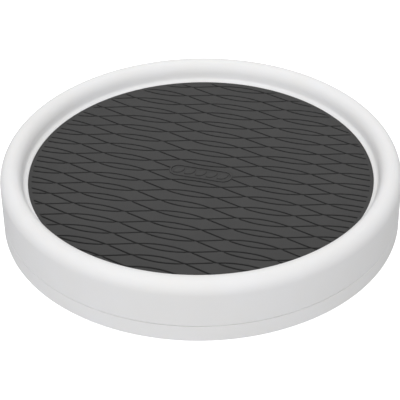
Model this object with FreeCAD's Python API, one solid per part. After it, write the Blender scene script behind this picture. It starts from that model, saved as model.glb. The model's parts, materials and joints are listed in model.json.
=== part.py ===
import FreeCAD, Part
import math
import os

# Low turntable: a tray that turns on a ring of caged steel balls above a flat pan-shaped base.
# Millimetres. +Z is up, the origin is on the spin axis, at the height of the surface it stands on.

V = FreeCAD.Vector
ORIGIN = V(0, 0, 0)
UP = V(0, 0, 1)

# ---- overall ----
outer_radius = 114.3        # outside of the skirt and of the base band, a nine inch turntable
foot_proud = 1.0            # how far the feet hold the base band off the table
rim_rise = 38.3             # bottom edge of the base band to the crest of the rim
band_height = 10.3          # visible height of the base band
seam_gap = 0.25             # open gap between the base band and the turning skirt
edge_round = 0.2            # rounding of both edges of the seam

# ---- tray ----
tray_wall = 2.0
tray_floor = 2.2
rim_half_width = 6.4        # horizontal half axis of the rolled rim's oval crown
crown_height = 8.2          # vertical half axis of that crown
flank_angle = 8.0           # where the crown passes into the straight inner flank, in degrees
flank_fillet = 2.2          # hollow fillet between the flank and the mat's land
land_width = 0.4            # flat lip between that fillet and the mat's recess
mat_drop = 11.0             # crest of the rim down to the top of the mat
tray_rib_depth = 5.0
tray_rib_thickness = 1.6
tray_rib_count = 12
gusset_count = 24
gusset_thickness = 1.4
gusset_drop = 2.5           # how far the gussets under the rim reach below the floor's underside

# ---- mat ----
mat_thickness = 1.6
mat_fit = 0.12              # gap around the mat in its recess
mat_edge_round = 0.3

# ---- base pan ----
base_wall = 2.2
base_floor = 2.4
base_floor_lift = 0.8       # floor's underside above the band's bottom edge
base_edge_round = 1.0
shelf_thickness = 2.0
band_groove_width = 3.0     # cored groove between the band and the upstand
upstand_wall = 1.8
upstand_rise = 3.7          # upstand above the shelf, hidden behind the skirt
base_rib_height = 4.8
base_rib_thickness = 1.6
base_rib_count = 12

# ---- ball race ----
ball_radius = 3.175         # quarter inch balls
ball_count = 16
race_to_feet = 11.0         # open ring of floor between the race and the bosses over the feet
race_gap = 0.2              # clearance between a ball and each race groove
land_offset = 2.5           # race lands above and below the ball centres
race_width = 9.0
race_side_wall = 1.8
race_deck = 2.6

# ---- ball cage ----
cage_width = 10.0
cage_thickness = 3.2
pocket_gap = 0.2
slot_length = 10.0
slot_width = 3.4

# ---- pivot ----
spigot_radius = 8.0
pivot_gap = 0.25            # radial clearance of the spigot in the base's boss
boss_wall = 4.75
boss_clearance = 2.5        # base boss below the tray's ribs
screw_boss_wall = 2.3
spigot_wall = 1.9
core_roof = 6.0             # solid depth left above the spigot's cored ring
washer_lap = 2.25           # washer past the edge of the boss's bore
washer_thickness = 1.2
washer_gap = 0.3            # axial play under the base's boss
washer_recess_gap = 1.0
washer_recess_depth = 3.4
screw_radius = 2.1
screw_length = 14.0
screw_head_radius = 4.2
screw_head_height = 2.0
screw_tip = 2.0
screw_hole_gap = 0.02
cross_width = 1.0
cross_span = 4.6
cross_depth = 1.2

# ---- feet ----
foot_count = 6
foot_radius = 8.0
foot_inset = 2.8            # foot bosses clear of the upstand
foot_recess = 1.0
foot_fit = 0.1
foot_edge_round = 0.6
foot_boss_wall = 1.5
foot_boss_height = 1.0
foot_start_angle = 15.0

overlap = 0.5               # how far a rib is sunk into the wall that it joins

# ---- levels worked out from the sizes above ----
band_bottom = foot_proud
band_top = band_bottom + band_height
skirt_bottom = band_top + seam_gap
rim_top = band_bottom + rim_rise
crown_level = rim_top - crown_height
crown_radius = outer_radius - rim_half_width
mat_top = rim_top - mat_drop
floor_top = mat_top - mat_thickness
floor_under = floor_top - tray_floor

pan_under = band_bottom + base_floor_lift
pan_top = pan_under + base_floor
ball_level = (pan_top + floor_under) / 2
lower_land = ball_level - land_offset
upper_land = ball_level + land_offset
upstand_outer = outer_radius - base_wall - band_groove_width
upstand_inner = upstand_outer - upstand_wall
upstand_top = band_top + upstand_rise
foot_circle = upstand_inner - foot_inset - foot_boss_wall - foot_radius
race_outer = foot_circle - foot_radius - foot_boss_wall - race_to_feet
race_inner = race_outer - race_width
race_radius = (race_inner + race_outer) / 2

bore_radius = spigot_radius + pivot_gap
boss_radius = bore_radius + boss_wall
boss_top = floor_under - tray_rib_depth - boss_clearance
washer_radius = bore_radius + washer_lap
recess_ceiling = pan_under + washer_recess_depth
recess_wall_radius = washer_radius + washer_recess_gap
spigot_end = recess_ceiling - washer_gap
washer_under = spigot_end - washer_thickness
head_under = washer_under - screw_head_height
screw_hole_radius = screw_radius + screw_hole_gap
screw_boss_radius = screw_radius + screw_boss_wall
screw_top = washer_under + screw_length


def at(radius, height):
    """A point of a radial section: distance from the spin axis, and height."""
    return V(radius, 0, height)


def line(a, b):
    return Part.LineSegment(a, b).toShape()


def path(points):
    """Straight edges through the points, in order."""
    return [line(a, b) for a, b in zip(points, points[1:])]


def corner_arc(start, end, centre):
    """The short circular arc from start to end about centre."""
    radius = (start - centre).Length
    middle = centre + ((start - centre) + (end - centre)).normalize() * radius
    return Part.Arc(start, middle, end).toShape()


def turned(edges):
    """The solid that a closed radial section sweeps about the spin axis."""
    return Part.Face(Part.Wire(Part.__sortEdges__(edges))).revolve(ORIGIN, UP, 360)


def ring(inner, outer, bottom, top):
    """A plain ring, or a disc where inner is 0."""
    body = Part.makeCylinder(outer, top - bottom, at(0, bottom))
    if inner > 0:
        body = body.cut(Part.makeCylinder(inner, top - bottom, at(0, bottom)))
    return body


def spoke(inner, outer, thickness, bottom, top, angle):
    """A radial plate from one radius to another, centred on an angle in degrees."""
    plate = Part.makeBox(outer - inner, thickness, top - bottom, V(inner, -thickness / 2, bottom))
    plate.rotate(ORIGIN, UP, angle)
    return plate


def around(count, make, start=0.0):
    """make(angle) at count equal steps about the spin axis."""
    return [make(start + 360.0 * i / count) for i in range(count)]


def crown_point(inset, degrees):
    """A point of the rim's oval crown, inset from its outside: 0 degrees is inward, 180 outward."""
    angle = math.radians(degrees)
    return at(
        crown_radius - (rim_half_width - inset) * math.cos(angle),
        crown_level + (crown_height - inset) * math.sin(angle),
    )


def crown_arc(inset, first, last):
    """The oval arc of the crown between two angles in degrees."""
    centre = at(crown_radius, crown_level)
    wide = at(crown_radius + rim_half_width - inset, crown_level)
    tall = at(crown_radius, crown_level + crown_height - inset)
    if crown_height > rim_half_width:
        oval = Part.Ellipse(tall, wide, centre)
        ends = first, last
    else:
        oval = Part.Ellipse(wide, tall, centre)
        ends = last, first
    start, end = (oval.parameter(crown_point(inset, degrees)) for degrees in ends)
    return Part.Arc(oval, start, end).toShape()


def flank():
    """The rim's inner flank: its top, its bottom, and the end and centre of the fillet below it."""
    angle = math.radians(flank_angle)
    top = crown_point(0, flank_angle)
    down = V(-rim_half_width * math.sin(angle), 0, -crown_height * math.cos(angle)).normalize()
    inward = V(down.z, 0, -down.x)
    bottom_level = mat_top + flank_fillet * (1 - inward.z)
    bottom = top + down * ((top.z - bottom_level) / -down.z)
    centre = bottom + inward * flank_fillet
    return top, bottom, at(centre.x, mat_top), centre


def recess_radius():
    """Radius of the recess that holds the mat, inside the flat lip."""
    return flank()[2].x - land_width


def make_tray():
    """Floor, rolled rim, skirt, upper race, ribs and the spigot that turns in the base's boss."""
    flank_top, flank_bottom, land_end, fillet_centre = flank()
    channel_roof = upper_land + race_deck
    under_flank = flank_bottom.x + tray_wall
    core_inner = screw_boss_radius
    core_outer = spigot_radius - spigot_wall
    core_top = floor_under - core_roof
    section = path([
        at(0, floor_top),
        at(race_inner + race_side_wall, floor_top),
        at(race_inner + race_side_wall, channel_roof),
        at(race_outer - race_side_wall, channel_roof),
        at(race_outer - race_side_wall, floor_top),
        at(recess_radius(), floor_top),
        at(recess_radius(), mat_top),
        land_end,
    ])
    section.append(corner_arc(land_end, flank_bottom, fillet_centre))
    section.append(line(flank_bottom, flank_top))
    section.append(crown_arc(0, flank_angle, 180))
    section += path([crown_point(0, 180), at(outer_radius, skirt_bottom + edge_round)])
    section.append(corner_arc(
        at(outer_radius, skirt_bottom + edge_round),
        at(outer_radius - edge_round, skirt_bottom),
        at(outer_radius - edge_round, skirt_bottom + edge_round),
    ))
    section += path([
        at(outer_radius - edge_round, skirt_bottom),
        at(outer_radius - tray_wall, skirt_bottom),
        crown_point(tray_wall, 180),
    ])
    section.append(crown_arc(tray_wall, flank_angle, 180))
    section += path([
        crown_point(tray_wall, flank_angle),
        at(under_flank, floor_under),
        at(race_outer, floor_under),
        at(race_outer, upper_land),
        at(race_inner, upper_land),
        at(race_inner, floor_under),
        at(spigot_radius, floor_under),
        at(spigot_radius, spigot_end),
        at(core_outer, spigot_end),
        at(core_outer, core_top),
        at(core_inner, core_top),
        at(core_inner, spigot_end),
        at(screw_hole_radius, spigot_end),
        at(screw_hole_radius, screw_top),
        at(0, screw_top),
        at(0, floor_top),
    ])
    body = turned(section)

    rib_bottom = floor_under - tray_rib_depth
    rib_top = floor_under + overlap
    inner_ribs = around(tray_rib_count, lambda a: spoke(
        spigot_radius - overlap, race_inner + overlap, tray_rib_thickness, rib_bottom, rib_top, a))
    outer_ribs = around(tray_rib_count, lambda a: spoke(
        race_outer - overlap, under_flank + overlap, tray_rib_thickness, rib_bottom, rib_top, a))
    gussets = around(gusset_count, lambda a: spoke(
        under_flank - overlap, outer_radius - tray_wall / 2, gusset_thickness,
        floor_under - gusset_drop, rim_top, a), start=180.0 / gusset_count)
    crown_limit = turned(
        [crown_arc(tray_wall / 2, flank_angle, 180)]
        + path([
            crown_point(tray_wall / 2, 180),
            at(outer_radius - tray_wall / 2, skirt_bottom),
            at(under_flank - tray_wall, skirt_bottom),
            at(under_flank - tray_wall, floor_under),
            crown_point(tray_wall / 2, flank_angle),
        ])
    )
    gussets = [g.common(crown_limit) for g in gussets]
    body = body.fuse(inner_ribs + outer_ribs + gussets)
    groove = Part.makeTorus(race_radius, ball_radius + race_gap, at(0, ball_level), UP)
    return body.cut(groove).removeSplitter()


def make_mat():
    """Rubber mat that fills the tray's recess."""
    mat = ring(0, recess_radius() - mat_fit, floor_top, mat_top)
    top_edge = [e for e in mat.Edges if e.Closed and e.CenterOfMass.z > mat_top - mat_edge_round]
    return mat.makeFillet(mat_edge_round, top_edge)


def make_base():
    """Flat pan: visible band, hidden upstand, lower race, ribs, boss and seats for the feet."""
    channel_roof = lower_land - race_deck
    band_inner = outer_radius - base_wall
    section = path([
        at(bore_radius, recess_ceiling),
        at(recess_wall_radius, recess_ceiling),
        at(recess_wall_radius, pan_under),
        at(race_inner + race_side_wall, pan_under),
        at(race_inner + race_side_wall, channel_roof),
        at(race_outer - race_side_wall, channel_roof),
        at(race_outer - race_side_wall, pan_under),
        at(upstand_outer, pan_under),
        at(upstand_outer, band_top - shelf_thickness),
        at(band_inner, band_top - shelf_thickness),
        at(band_inner, band_bottom),
        at(outer_radius - base_edge_round, band_bottom),
    ])
    section.append(corner_arc(
        at(outer_radius - base_edge_round, band_bottom),
        at(outer_radius, band_bottom + base_edge_round),
        at(outer_radius - base_edge_round, band_bottom + base_edge_round),
    ))
    section.append(line(
        at(outer_radius, band_bottom + base_edge_round), at(outer_radius, band_top - edge_round)))
    section.append(corner_arc(
        at(outer_radius, band_top - edge_round),
        at(outer_radius - edge_round, band_top),
        at(outer_radius - edge_round, band_top - edge_round),
    ))
    section += path([
        at(outer_radius - edge_round, band_top),
        at(upstand_outer, band_top),
        at(upstand_outer, upstand_top),
        at(upstand_inner, upstand_top),
        at(upstand_inner, pan_top),
        at(race_outer, pan_top),
        at(race_outer, lower_land),
        at(race_inner, lower_land),
        at(race_inner, pan_top),
        at(recess_wall_radius + base_wall, pan_top),
        at(recess_wall_radius + base_wall, recess_ceiling + base_wall),
        at(boss_radius, recess_ceiling + base_wall),
        at(boss_radius, boss_top),
        at(bore_radius, boss_top),
        at(bore_radius, recess_ceiling),
    ])
    body = turned(section)

    rib_bottom = pan_top - overlap
    rib_top = pan_top + base_rib_height
    inner_ribs = around(base_rib_count, lambda a: spoke(
        boss_radius - overlap, race_inner + overlap, base_rib_thickness, rib_bottom, rib_top, a))
    outer_ribs = around(base_rib_count, lambda a: spoke(
        race_outer - overlap, upstand_inner + overlap, base_rib_thickness, rib_bottom, rib_top, a))
    foot_bosses = around(foot_count, lambda a: foot_disc(
        foot_radius + foot_boss_wall, rib_bottom, pan_top + foot_boss_height, a), foot_start_angle)
    body = body.fuse(inner_ribs + outer_ribs + foot_bosses)
    foot_seats = around(foot_count, lambda a: foot_disc(
        foot_radius + foot_fit, pan_under - overlap, pan_under + foot_recess, a), foot_start_angle)
    groove = Part.makeTorus(race_radius, ball_radius + race_gap, at(0, ball_level), UP)
    return body.cut(foot_seats + [groove]).removeSplitter()


def foot_disc(radius, bottom, top, angle):
    """An upright disc on the circle of feet."""
    disc = Part.makeCylinder(radius, top - bottom, at(foot_circle, bottom))
    disc.rotate(ORIGIN, UP, angle)
    return disc


def make_foot(angle):
    """Round rubber foot, seated in its recess under the base."""
    foot = Part.makeCylinder(foot_radius, pan_under + foot_recess, at(foot_circle, 0))
    bottom_edge = [e for e in foot.Edges if e.Closed and e.CenterOfMass.z < foot_edge_round]
    foot = foot.makeFillet(foot_edge_round, bottom_edge)
    foot.rotate(ORIGIN, UP, angle)
    return foot


def make_cage():
    """Flat ring with a spherical pocket for each ball and an oblong slot between pockets."""
    half = cage_thickness / 2
    cage = ring(race_radius - cage_width / 2, race_radius + cage_width / 2,
                ball_level - half, ball_level + half)
    pockets = around(ball_count, lambda a: at_race(
        Part.makeSphere(ball_radius + pocket_gap), a))
    slots = around(ball_count, make_slot, start=180.0 / ball_count)
    return cage.cut(pockets + slots)


def make_slot(angle):
    """The cutter for one oblong slot, lying along the ring."""
    reach = (slot_length - slot_width) / 2
    depth = 2 * cage_thickness
    middle = Part.makeBox(slot_width, 2 * reach, depth, V(-slot_width / 2, -reach, -depth / 2))
    ends = [Part.makeCylinder(slot_width / 2, depth, V(0, y, -depth / 2)) for y in (-reach, reach)]
    return at_race(middle.fuse(ends), angle)


def at_race(shape, angle):
    """Moves a shape from the origin to the ball ring, at an angle in degrees."""
    shape.translate(at(race_radius, ball_level))
    shape.rotate(ORIGIN, UP, angle)
    return shape


def make_ball(angle):
    return at_race(Part.makeSphere(ball_radius), angle)


def make_washer():
    """Flat steel washer that keeps the spigot in the base's boss."""
    return ring(screw_radius + screw_hole_gap, washer_radius, washer_under, spigot_end)


def make_screw():
    """Pan head screw with a cross recess and a pointed tip, driven up into the spigot."""
    head_edge = screw_head_height / 2
    section = path([
        at(0, screw_top - screw_hole_gap),
        at(0, head_under),
        at(screw_head_radius - head_edge, head_under),
    ])
    section.append(corner_arc(
        at(screw_head_radius - head_edge, head_under),
        at(screw_head_radius, head_under + head_edge),
        at(screw_head_radius - head_edge, head_under + head_edge),
    ))
    section += path([
        at(screw_head_radius, head_under + head_edge),
        at(screw_head_radius, washer_under),
        at(screw_radius, washer_under),
        at(screw_radius, screw_top - screw_tip),
        at(0, screw_top - screw_hole_gap),
    ])
    screw = turned(section)
    arms = [
        Part.makeBox(x, y, cross_depth, V(-x / 2, -y / 2, head_under))
        for x, y in ((cross_span, cross_width), (cross_width, cross_span))
    ]
    return screw.cut(arms)


def export(name, shape):
    """Writes one piece, as a clean solid, to its own file."""
    solids = shape.Solids
    if len(solids) != 1 or not solids[0].isValid() or solids[0].Volume <= 0:
        raise ValueError(f"{name}: {len(solids)} solids, valid {[s.isValid() for s in solids]}")
    solids[0].exportStep(f"parts/{name}.step")


def main():
    os.makedirs("parts", exist_ok=True)
    export("tray", make_tray())
    export("mat", make_mat())
    export("base", make_base())
    export("ball_cage", make_cage())
    for number, ball in enumerate(around(ball_count, make_ball), start=1):
        export(f"ball_{number:02d}", ball)
    for number, foot in enumerate(around(foot_count, make_foot, foot_start_angle), start=1):
        export(f"foot_{number}", foot)
    export("pivot_washer", make_washer())
    export("pivot_screw", make_screw())


main()
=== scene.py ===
import json
import math

import bmesh
import bpy
from bpy.props import FloatProperty, FloatVectorProperty, IntProperty, PointerProperty
from mathutils import Matrix, Vector


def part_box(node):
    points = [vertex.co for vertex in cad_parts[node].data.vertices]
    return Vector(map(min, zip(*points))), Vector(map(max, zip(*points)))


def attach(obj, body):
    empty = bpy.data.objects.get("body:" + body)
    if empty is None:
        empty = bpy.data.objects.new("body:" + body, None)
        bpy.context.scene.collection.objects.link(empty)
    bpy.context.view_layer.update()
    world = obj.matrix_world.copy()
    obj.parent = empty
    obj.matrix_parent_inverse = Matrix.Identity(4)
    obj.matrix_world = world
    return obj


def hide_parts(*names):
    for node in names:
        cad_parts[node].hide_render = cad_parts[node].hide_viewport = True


bl_info = {
    "name": "Lazy Susan Turntable",
    "version": (1, 0, 0),
    "blender": (4, 5, 0),
    "location": "3D View > Sidebar > Turntable",
    "description": "Makes the visible pieces of a low ball race turntable around its packed frame",
    "category": "Add Mesh",
}

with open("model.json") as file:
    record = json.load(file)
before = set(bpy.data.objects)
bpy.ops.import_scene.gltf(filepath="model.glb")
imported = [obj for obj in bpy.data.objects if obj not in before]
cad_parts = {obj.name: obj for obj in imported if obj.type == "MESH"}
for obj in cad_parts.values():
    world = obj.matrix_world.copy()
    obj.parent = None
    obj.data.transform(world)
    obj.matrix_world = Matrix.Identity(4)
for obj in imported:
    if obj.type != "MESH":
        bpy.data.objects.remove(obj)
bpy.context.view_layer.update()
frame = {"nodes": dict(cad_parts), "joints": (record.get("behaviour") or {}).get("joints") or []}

ORIGIN = Vector((0, 0, 0))
UP = Vector((0, 0, 1))
JOINTS = {joint["name"]: joint for joint in frame["joints"]}
MERGE = 1e-7            # vertices closer than this are one
SHARP = math.radians(32)    # creases sharper than this keep a hard shading edge


def levels(node, inner, outer):
    """Lowest and highest level that a CAD node reaches between two distances from the spin axis."""
    found = [
        vertex.co.z
        for vertex in frame["nodes"][node].data.vertices
        if inner <= math.hypot(vertex.co.x, vertex.co.y) <= outer
    ]
    return min(found), max(found)


OUTER_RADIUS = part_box("tray")[1].x
RIM_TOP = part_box("tray")[1].z
MAT_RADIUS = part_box("mat")[1].x
FLOOR_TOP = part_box("mat")[0].z
MAT_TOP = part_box("mat")[1].z
WALL_DEPTH = 0.0005         # from the outside in past the rounding of the skirt's edge
BAND_DEPTH = 0.0015         # from the outside in past the rounding of the band's edge
SKIRT_BOTTOM = levels("tray", OUTER_RADIUS - WALL_DEPTH, OUTER_RADIUS)[0]
BAND_BOTTOM, BAND_TOP = levels("base", OUTER_RADIUS - BAND_DEPTH, OUTER_RADIUS)
BALL_CENTRE = Vector(JOINTS["ball_01_roll"]["pos_m"])
RACE_RADIUS = BALL_CENTRE.x
BALL_LEVEL = BALL_CENTRE.z
BALL_RADIUS = (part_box("ball_01")[1].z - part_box("ball_01")[0].z) / 2
BALLS = sorted(name for name in frame["nodes"] if name.startswith("ball_") and name[5:].isdigit())
FEET = sorted(name for name in frame["nodes"] if name.startswith("foot_"))


# ---------------------------------------------------------------- settings


def length(name, description, default):
    return FloatProperty(
        name=name, description=description, default=default, min=0, unit="LENGTH", precision=5)


def share(name, description, default):
    return FloatProperty(
        name=name, description=description, default=default, min=0, max=1, subtype="FACTOR")


def angle(name, description, default):
    return FloatProperty(
        name=name, description=description, default=math.radians(default), unit="ROTATION")


def strength(name, description, default):
    return FloatProperty(name=name, description=description, default=default, min=0)


def paint(name, description, default):
    return FloatVectorProperty(
        name=name, description=description, default=default, size=3, min=0, max=1, subtype="COLOR")


class TURNTABLE_shell_sizes(bpy.types.PropertyGroup):
    """Sizes of the tray's and the base's walls, rim, races and ribs"""

    steps: IntProperty(
        name="Turning steps", description="Steps of a full turn of the large shells", default=288)
    rim_half_width: length("Rim half width", "Horizontal half axis of the rolled rim", 0.0064)
    crown_height: length("Crown height", "Vertical half axis of the rolled rim", 0.0082)
    flank_angle: angle("Flank start", "Where the crown passes into the inner flank", 8)
    flank_fillet: length("Flank fillet", "Hollow fillet between the flank and the lip", 0.0022)
    land_width: length("Lip width", "Flat lip between the fillet and the mat", 0.0004)
    seam_round: length("Seam rounding", "Rounding of both edges of the seam", 0.0002)
    corner_round: length("Corner rounding", "Rounding of the other moulded corners", 0.0003)
    tray_wall: length("Tray wall", "Thickness of the rim and the skirt", 0.002)
    tray_floor: length("Tray floor", "Thickness of the floor under the mat", 0.0022)
    tray_rib_depth: length("Tray rib depth", "Ribs under the tray's floor", 0.005)
    gusset_drop: length("Gusset drop", "Gussets below the underside of the floor", 0.0025)
    rib_width: length("Rib thickness", "Thickness of the ribs of both shells", 0.0016)
    gusset_width: length("Gusset thickness", "Thickness of the gussets in the rim", 0.0014)
    rib_count: IntProperty(name="Ribs", description="Ribs in each ring of ribs", default=12)
    gusset_count: IntProperty(name="Gussets", description="Gussets in the rim", default=24)
    race_width: length("Race width", "Width of both race rings", 0.009)
    race_side_wall: length("Race side wall", "Wall beside the cored race channel", 0.0018)
    race_deck: length("Race deck", "Material over the cored race channel", 0.0026)
    race_gap: length("Race clearance", "Clearance between a ball and its groove", 0.0002)
    land_offset: length("Race land", "Race lands above and below the ball centres", 0.0025)
    base_wall: length("Base wall", "Thickness of the visible base band", 0.0022)
    base_floor: length("Base floor", "Thickness of the base's floor", 0.0024)
    base_floor_lift: length("Floor lift", "Base floor above the band's bottom edge", 0.0008)
    base_edge_round: length("Bottom rounding", "Rounding of the base's bottom edge", 0.001)
    shelf: length("Shelf", "Thickness of the shelf behind the seam", 0.002)
    groove_width: length("Cored groove", "Groove behind the base band", 0.003)
    upstand_wall: length("Upstand wall", "Wall that stands up behind the skirt", 0.0018)
    upstand_rise: length("Upstand rise", "Upstand above the shelf", 0.0037)
    base_rib_height: length("Base rib height", "Ribs on the base's floor", 0.0048)
    foot_fit: length("Foot fit", "Clearance around a foot in its seat", 0.0001)
    foot_boss_wall: length("Foot boss wall", "Boss around each foot's seat", 0.0015)
    foot_boss_height: length("Foot boss height", "Boss above the base's floor", 0.001)
    sunk: length("Sunk", "How far ribs and bosses are let into the walls that they join", 0.0005)


class TURNTABLE_pivot_sizes(bpy.types.PropertyGroup):
    """Sizes of the spigot, its boss, the washer and the screw"""

    spigot_radius: length("Spigot radius", "Tray's central spigot", 0.008)
    pivot_gap: length("Running gap", "Clearance of the spigot in its boss", 0.00025)
    boss_wall: length("Boss wall", "Wall of the base's boss", 0.00475)
    spigot_wall: length("Spigot wall", "Wall around the spigot's cored ring", 0.0019)
    screw_boss_wall: length("Screw boss wall", "Wall around the screw hole", 0.0023)
    core_roof: length("Core roof", "Solid depth left above the cored ring", 0.006)
    recess_gap: length("Recess gap", "Room around the washer in its recess", 0.001)
    washer_gap: length("Washer gap", "Play between the washer and the base's boss", 0.0003)
    screw_radius: length("Screw radius", "Outside of the screw's thread", 0.0021)
    thread_depth: length("Thread depth", "Depth of the screw's thread", 0.0004)
    thread_pitch: length("Thread pitch", "Rise of the thread in one turn", 0.0014)
    screw_tip: length("Screw tip", "Length of the screw's point", 0.002)
    screw_hole_gap: length("Screw hole gap", "Clearance of the screw in its hole", 0.00002)
    cross_width: length("Cross width", "Width of the head's cross recess", 0.001)
    cross_span: length("Cross span", "Span of the head's cross recess", 0.0046)
    cross_depth: length("Cross depth", "Depth of the head's cross recess", 0.0012)
    washer_chamfer: length("Washer chamfer", "Chamfer of the washer's edges", 0.00015)


class TURNTABLE_foot_sizes(bpy.types.PropertyGroup):
    """Sizes of the rubber feet"""

    edge_round: length("Foot edge", "Rounding of a foot's bottom edge", 0.0006)
    dish_depth: length("Dish depth", "Hollow in the middle of a foot", 0.0003)
    ring_depth: length("Grip ring depth", "Depth of a foot's grip ring", 0.0004)
    crease: length("Crease", "Rounding of the dish and of the grip ring", 0.0001)


class TURNTABLE_race_sizes(bpy.types.PropertyGroup):
    """Sizes of the ball cage"""

    pocket_gap: length("Pocket gap", "Clearance of a ball in its pocket", 0.0002)
    slot_length: length("Slot length", "Length of the slots between the pockets", 0.01)
    slot_width: length("Slot width", "Width of the slots between the pockets", 0.0034)
    chamfer: length("Chamfer", "Chamfer of the cage's edges", 0.0003)


class TURNTABLE_mat_sizes(bpy.types.PropertyGroup):
    """Sizes of the rubber mat's wavy grooves, border and emblem"""

    columns: IntProperty(name="Columns", description="Steps along the mat's grooves", default=236)
    pitch: length("Groove pitch", "Spacing of the grooves of one family", 0.01028)
    wavelength: length("Wavelength", "Length of one wave of a groove", 0.0916)
    swing: length("Swing", "Half the height of a groove's wave", 0.00488)
    offset: FloatProperty(
        name="Offset", description="Place of the first groove across the mat, in pitches",
        default=-0.225)
    groove_width: length("Groove width", "Width of a groove at the surface", 0.00125)
    groove_depth: length("Groove depth", "Depth of a groove", 0.0009)
    stop_start: length("Stop start", "Gap at which a groove begins beside a crossing", 0.0007)
    stop_end: length("Stop end", "Gap at which a groove is full beside a crossing", 0.0013)
    border: length("Border", "Plain border of the mat", 0.0018)
    fade: length("Fade", "Length over which a groove ends", 0.0005)
    edge_round: length("Edge rounding", "Rounding of the mat's top edge", 0.00015)
    emblem_length: length("Emblem length", "Length of the raised emblem", 0.037)
    emblem_width: length("Emblem width", "Width of the raised emblem", 0.0105)
    emblem_rim: length("Emblem rim", "Width of the emblem's raised rim", 0.0009)
    emblem_sunk: length("Emblem sunk", "How far the relief is let into the mat", 0.0001)
    leaf_reach: length("Leaf reach", "Half the length of an emblem leaf", 0.0038)
    leaf_turn: angle("Leaf turn", "Slant of the emblem leaves", 42)
    emblem_rise: length("Emblem rise", "Height of the emblem's relief", 0.0006)


class TURNTABLE_finishes(bpy.types.PropertyGroup):
    """Colours and surface qualities of the materials"""

    plastic: paint("White plastic", "Moulded plastic of the tray and the base", (0.86, 0.86, 0.864))
    plastic_roughness: share("Plastic roughness", "Roughness of the white plastic", 0.45)
    mat: paint("Mat rubber", "Dark rubber of the mat", (0.061, 0.0608, 0.0605))
    # painted shade: the colour the grooves are darkened to, standing in for the shade that falls in
    # them
    groove_painted_shade: paint("Mat groove", "Rubber at the bottom of the grooves", (0.018, 0.018, 0.018))
    mat_roughness: share("Mat roughness", "Roughness of the mat", 0.72)
    foot: paint("Foot rubber", "Rubber of the feet", (0.30, 0.30, 0.31))
    cage: paint("Cage plastic", "Natural plastic of the ball cage", (0.74, 0.72, 0.66))
    ball: paint("Ball steel", "Polished steel of the balls", (0.62, 0.62, 0.63))
    zinc: paint("Zinc", "Zinc plating of the screw and the washer", (0.55, 0.56, 0.57))


class TURNTABLE_stage_settings(bpy.types.PropertyGroup):
    """Camera, floor and lights"""

    azimuth: angle("Azimuth", "Camera's turn to the right of the front", 16.56)
    elevation: angle("Elevation", "Camera's height above the horizon", 36.66)
    distance: length("Distance", "Camera from the middle of the base's bottom edge", 0.9145)
    lens: FloatProperty(name="Lens", description="Focal length in millimetres", default=141.06)
    aim_up: FloatProperty(
        name="Aim up", description="Aim above the middle of the base's bottom edge",
        default=0.0068, unit="LENGTH", precision=5)
    aim_right: FloatProperty(
        name="Aim right", description="Aim to the right of that middle",
        default=-0.00064, unit="LENGTH", precision=5)
    roll: angle("Roll", "Camera's turn about its own line of sight", -0.85)
    floor: paint("Floor", "Colour of the pale floor", (0.9, 0.9, 0.9))
    horizon_light: strength("Side light", "Brightness of the surround low down", 1.98)
    overhead_light: strength("Overhead light", "Brightness of the surround overhead", 1.03)
    right_light: strength("Right light", "Share of the light left on the right side", 0.38)
    left_light: strength("Left light", "Share of the light left on the left side", 0.37)
    back_light: strength("Back light", "Share of the light left behind", 0.55)
    floor_light: strength("Bounced light", "Brightness of the light from below", 0.42)
    lamp_power: strength("Lamp power", "Power of the lamp overhead, in watts", 2.0)


# ---------------------------------------------------------------- shader building


def add_node(tree, kind, values=None, **settings):
    """A new node, with its settings and the values or links of its inputs."""
    node = tree.nodes.new(kind)
    for name, value in settings.items():
        setattr(node, name, value)
    for name, value in (values or {}).items():
        if isinstance(value, bpy.types.NodeSocket):
            tree.links.new(value, node.inputs[name])
        else:
            node.inputs[name].default_value = value
    return node


def maths(tree, operation, first, second=0.0):
    return add_node(tree, "ShaderNodeMath", {0: first, 1: second}, operation=operation).outputs[0]


def remapped(tree, value, low, high, new_low, new_high):
    """A value moved from one range to another, smoothly and held at the ends."""
    node = add_node(
        tree, "ShaderNodeMapRange",
        {"Value": value, "From Min": low, "From Max": high, "To Min": new_low, "To Max": new_high},
        interpolation_type="SMOOTHSTEP")
    return node.outputs["Result"]


def blended(tree, factor, first, second):
    """A colour between two others."""
    node = add_node(tree, "ShaderNodeMix", data_type="RGBA")
    for place, value in ((0, factor), (6, first), (7, second)):
        if isinstance(value, bpy.types.NodeSocket):
            tree.links.new(value, node.inputs[place])
        else:
            node.inputs[place].default_value = value
    return node.outputs[2]


def noise(tree, vector, scale, detail=2.0):
    return add_node(
        tree, "ShaderNodeTexNoise", {"Vector": vector, "Scale": scale, "Detail": detail}
    ).outputs["Fac"]


def opaque(colour):
    return (*colour, 1.0)


def new_group(name, inputs, outputs):
    """An empty shader group with named number inputs and outputs, and its two end nodes."""
    group = bpy.data.node_groups.new(name, "ShaderNodeTree")
    for label, default in inputs:
        socket = group.interface.new_socket(label, in_out="INPUT", socket_type="NodeSocketFloat")
        socket.default_value = default
    for label in outputs:
        group.interface.new_socket(label, in_out="OUTPUT", socket_type="NodeSocketFloat")
    return group, group.nodes.new("NodeGroupInput"), group.nodes.new("NodeGroupOutput")


def grain_group(name):
    """Fine moulded grain for bumps, and a slow change of tone over the surface."""
    group, start, end = new_group(
        name, [("Scale", 2500.0), ("Tone Scale", 30.0)], ["Height", "Tone"])
    place = group.nodes.new("ShaderNodeTexCoord").outputs["Object"]
    fine = noise(group, place, start.outputs["Scale"], 3.0)
    slow = noise(group, place, start.outputs["Tone Scale"], 2.0)
    group.links.new(fine, end.inputs["Height"])
    group.links.new(remapped(group, slow, 0.3, 0.7, 0.0, 1.0), end.inputs["Tone"])
    return group


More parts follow.
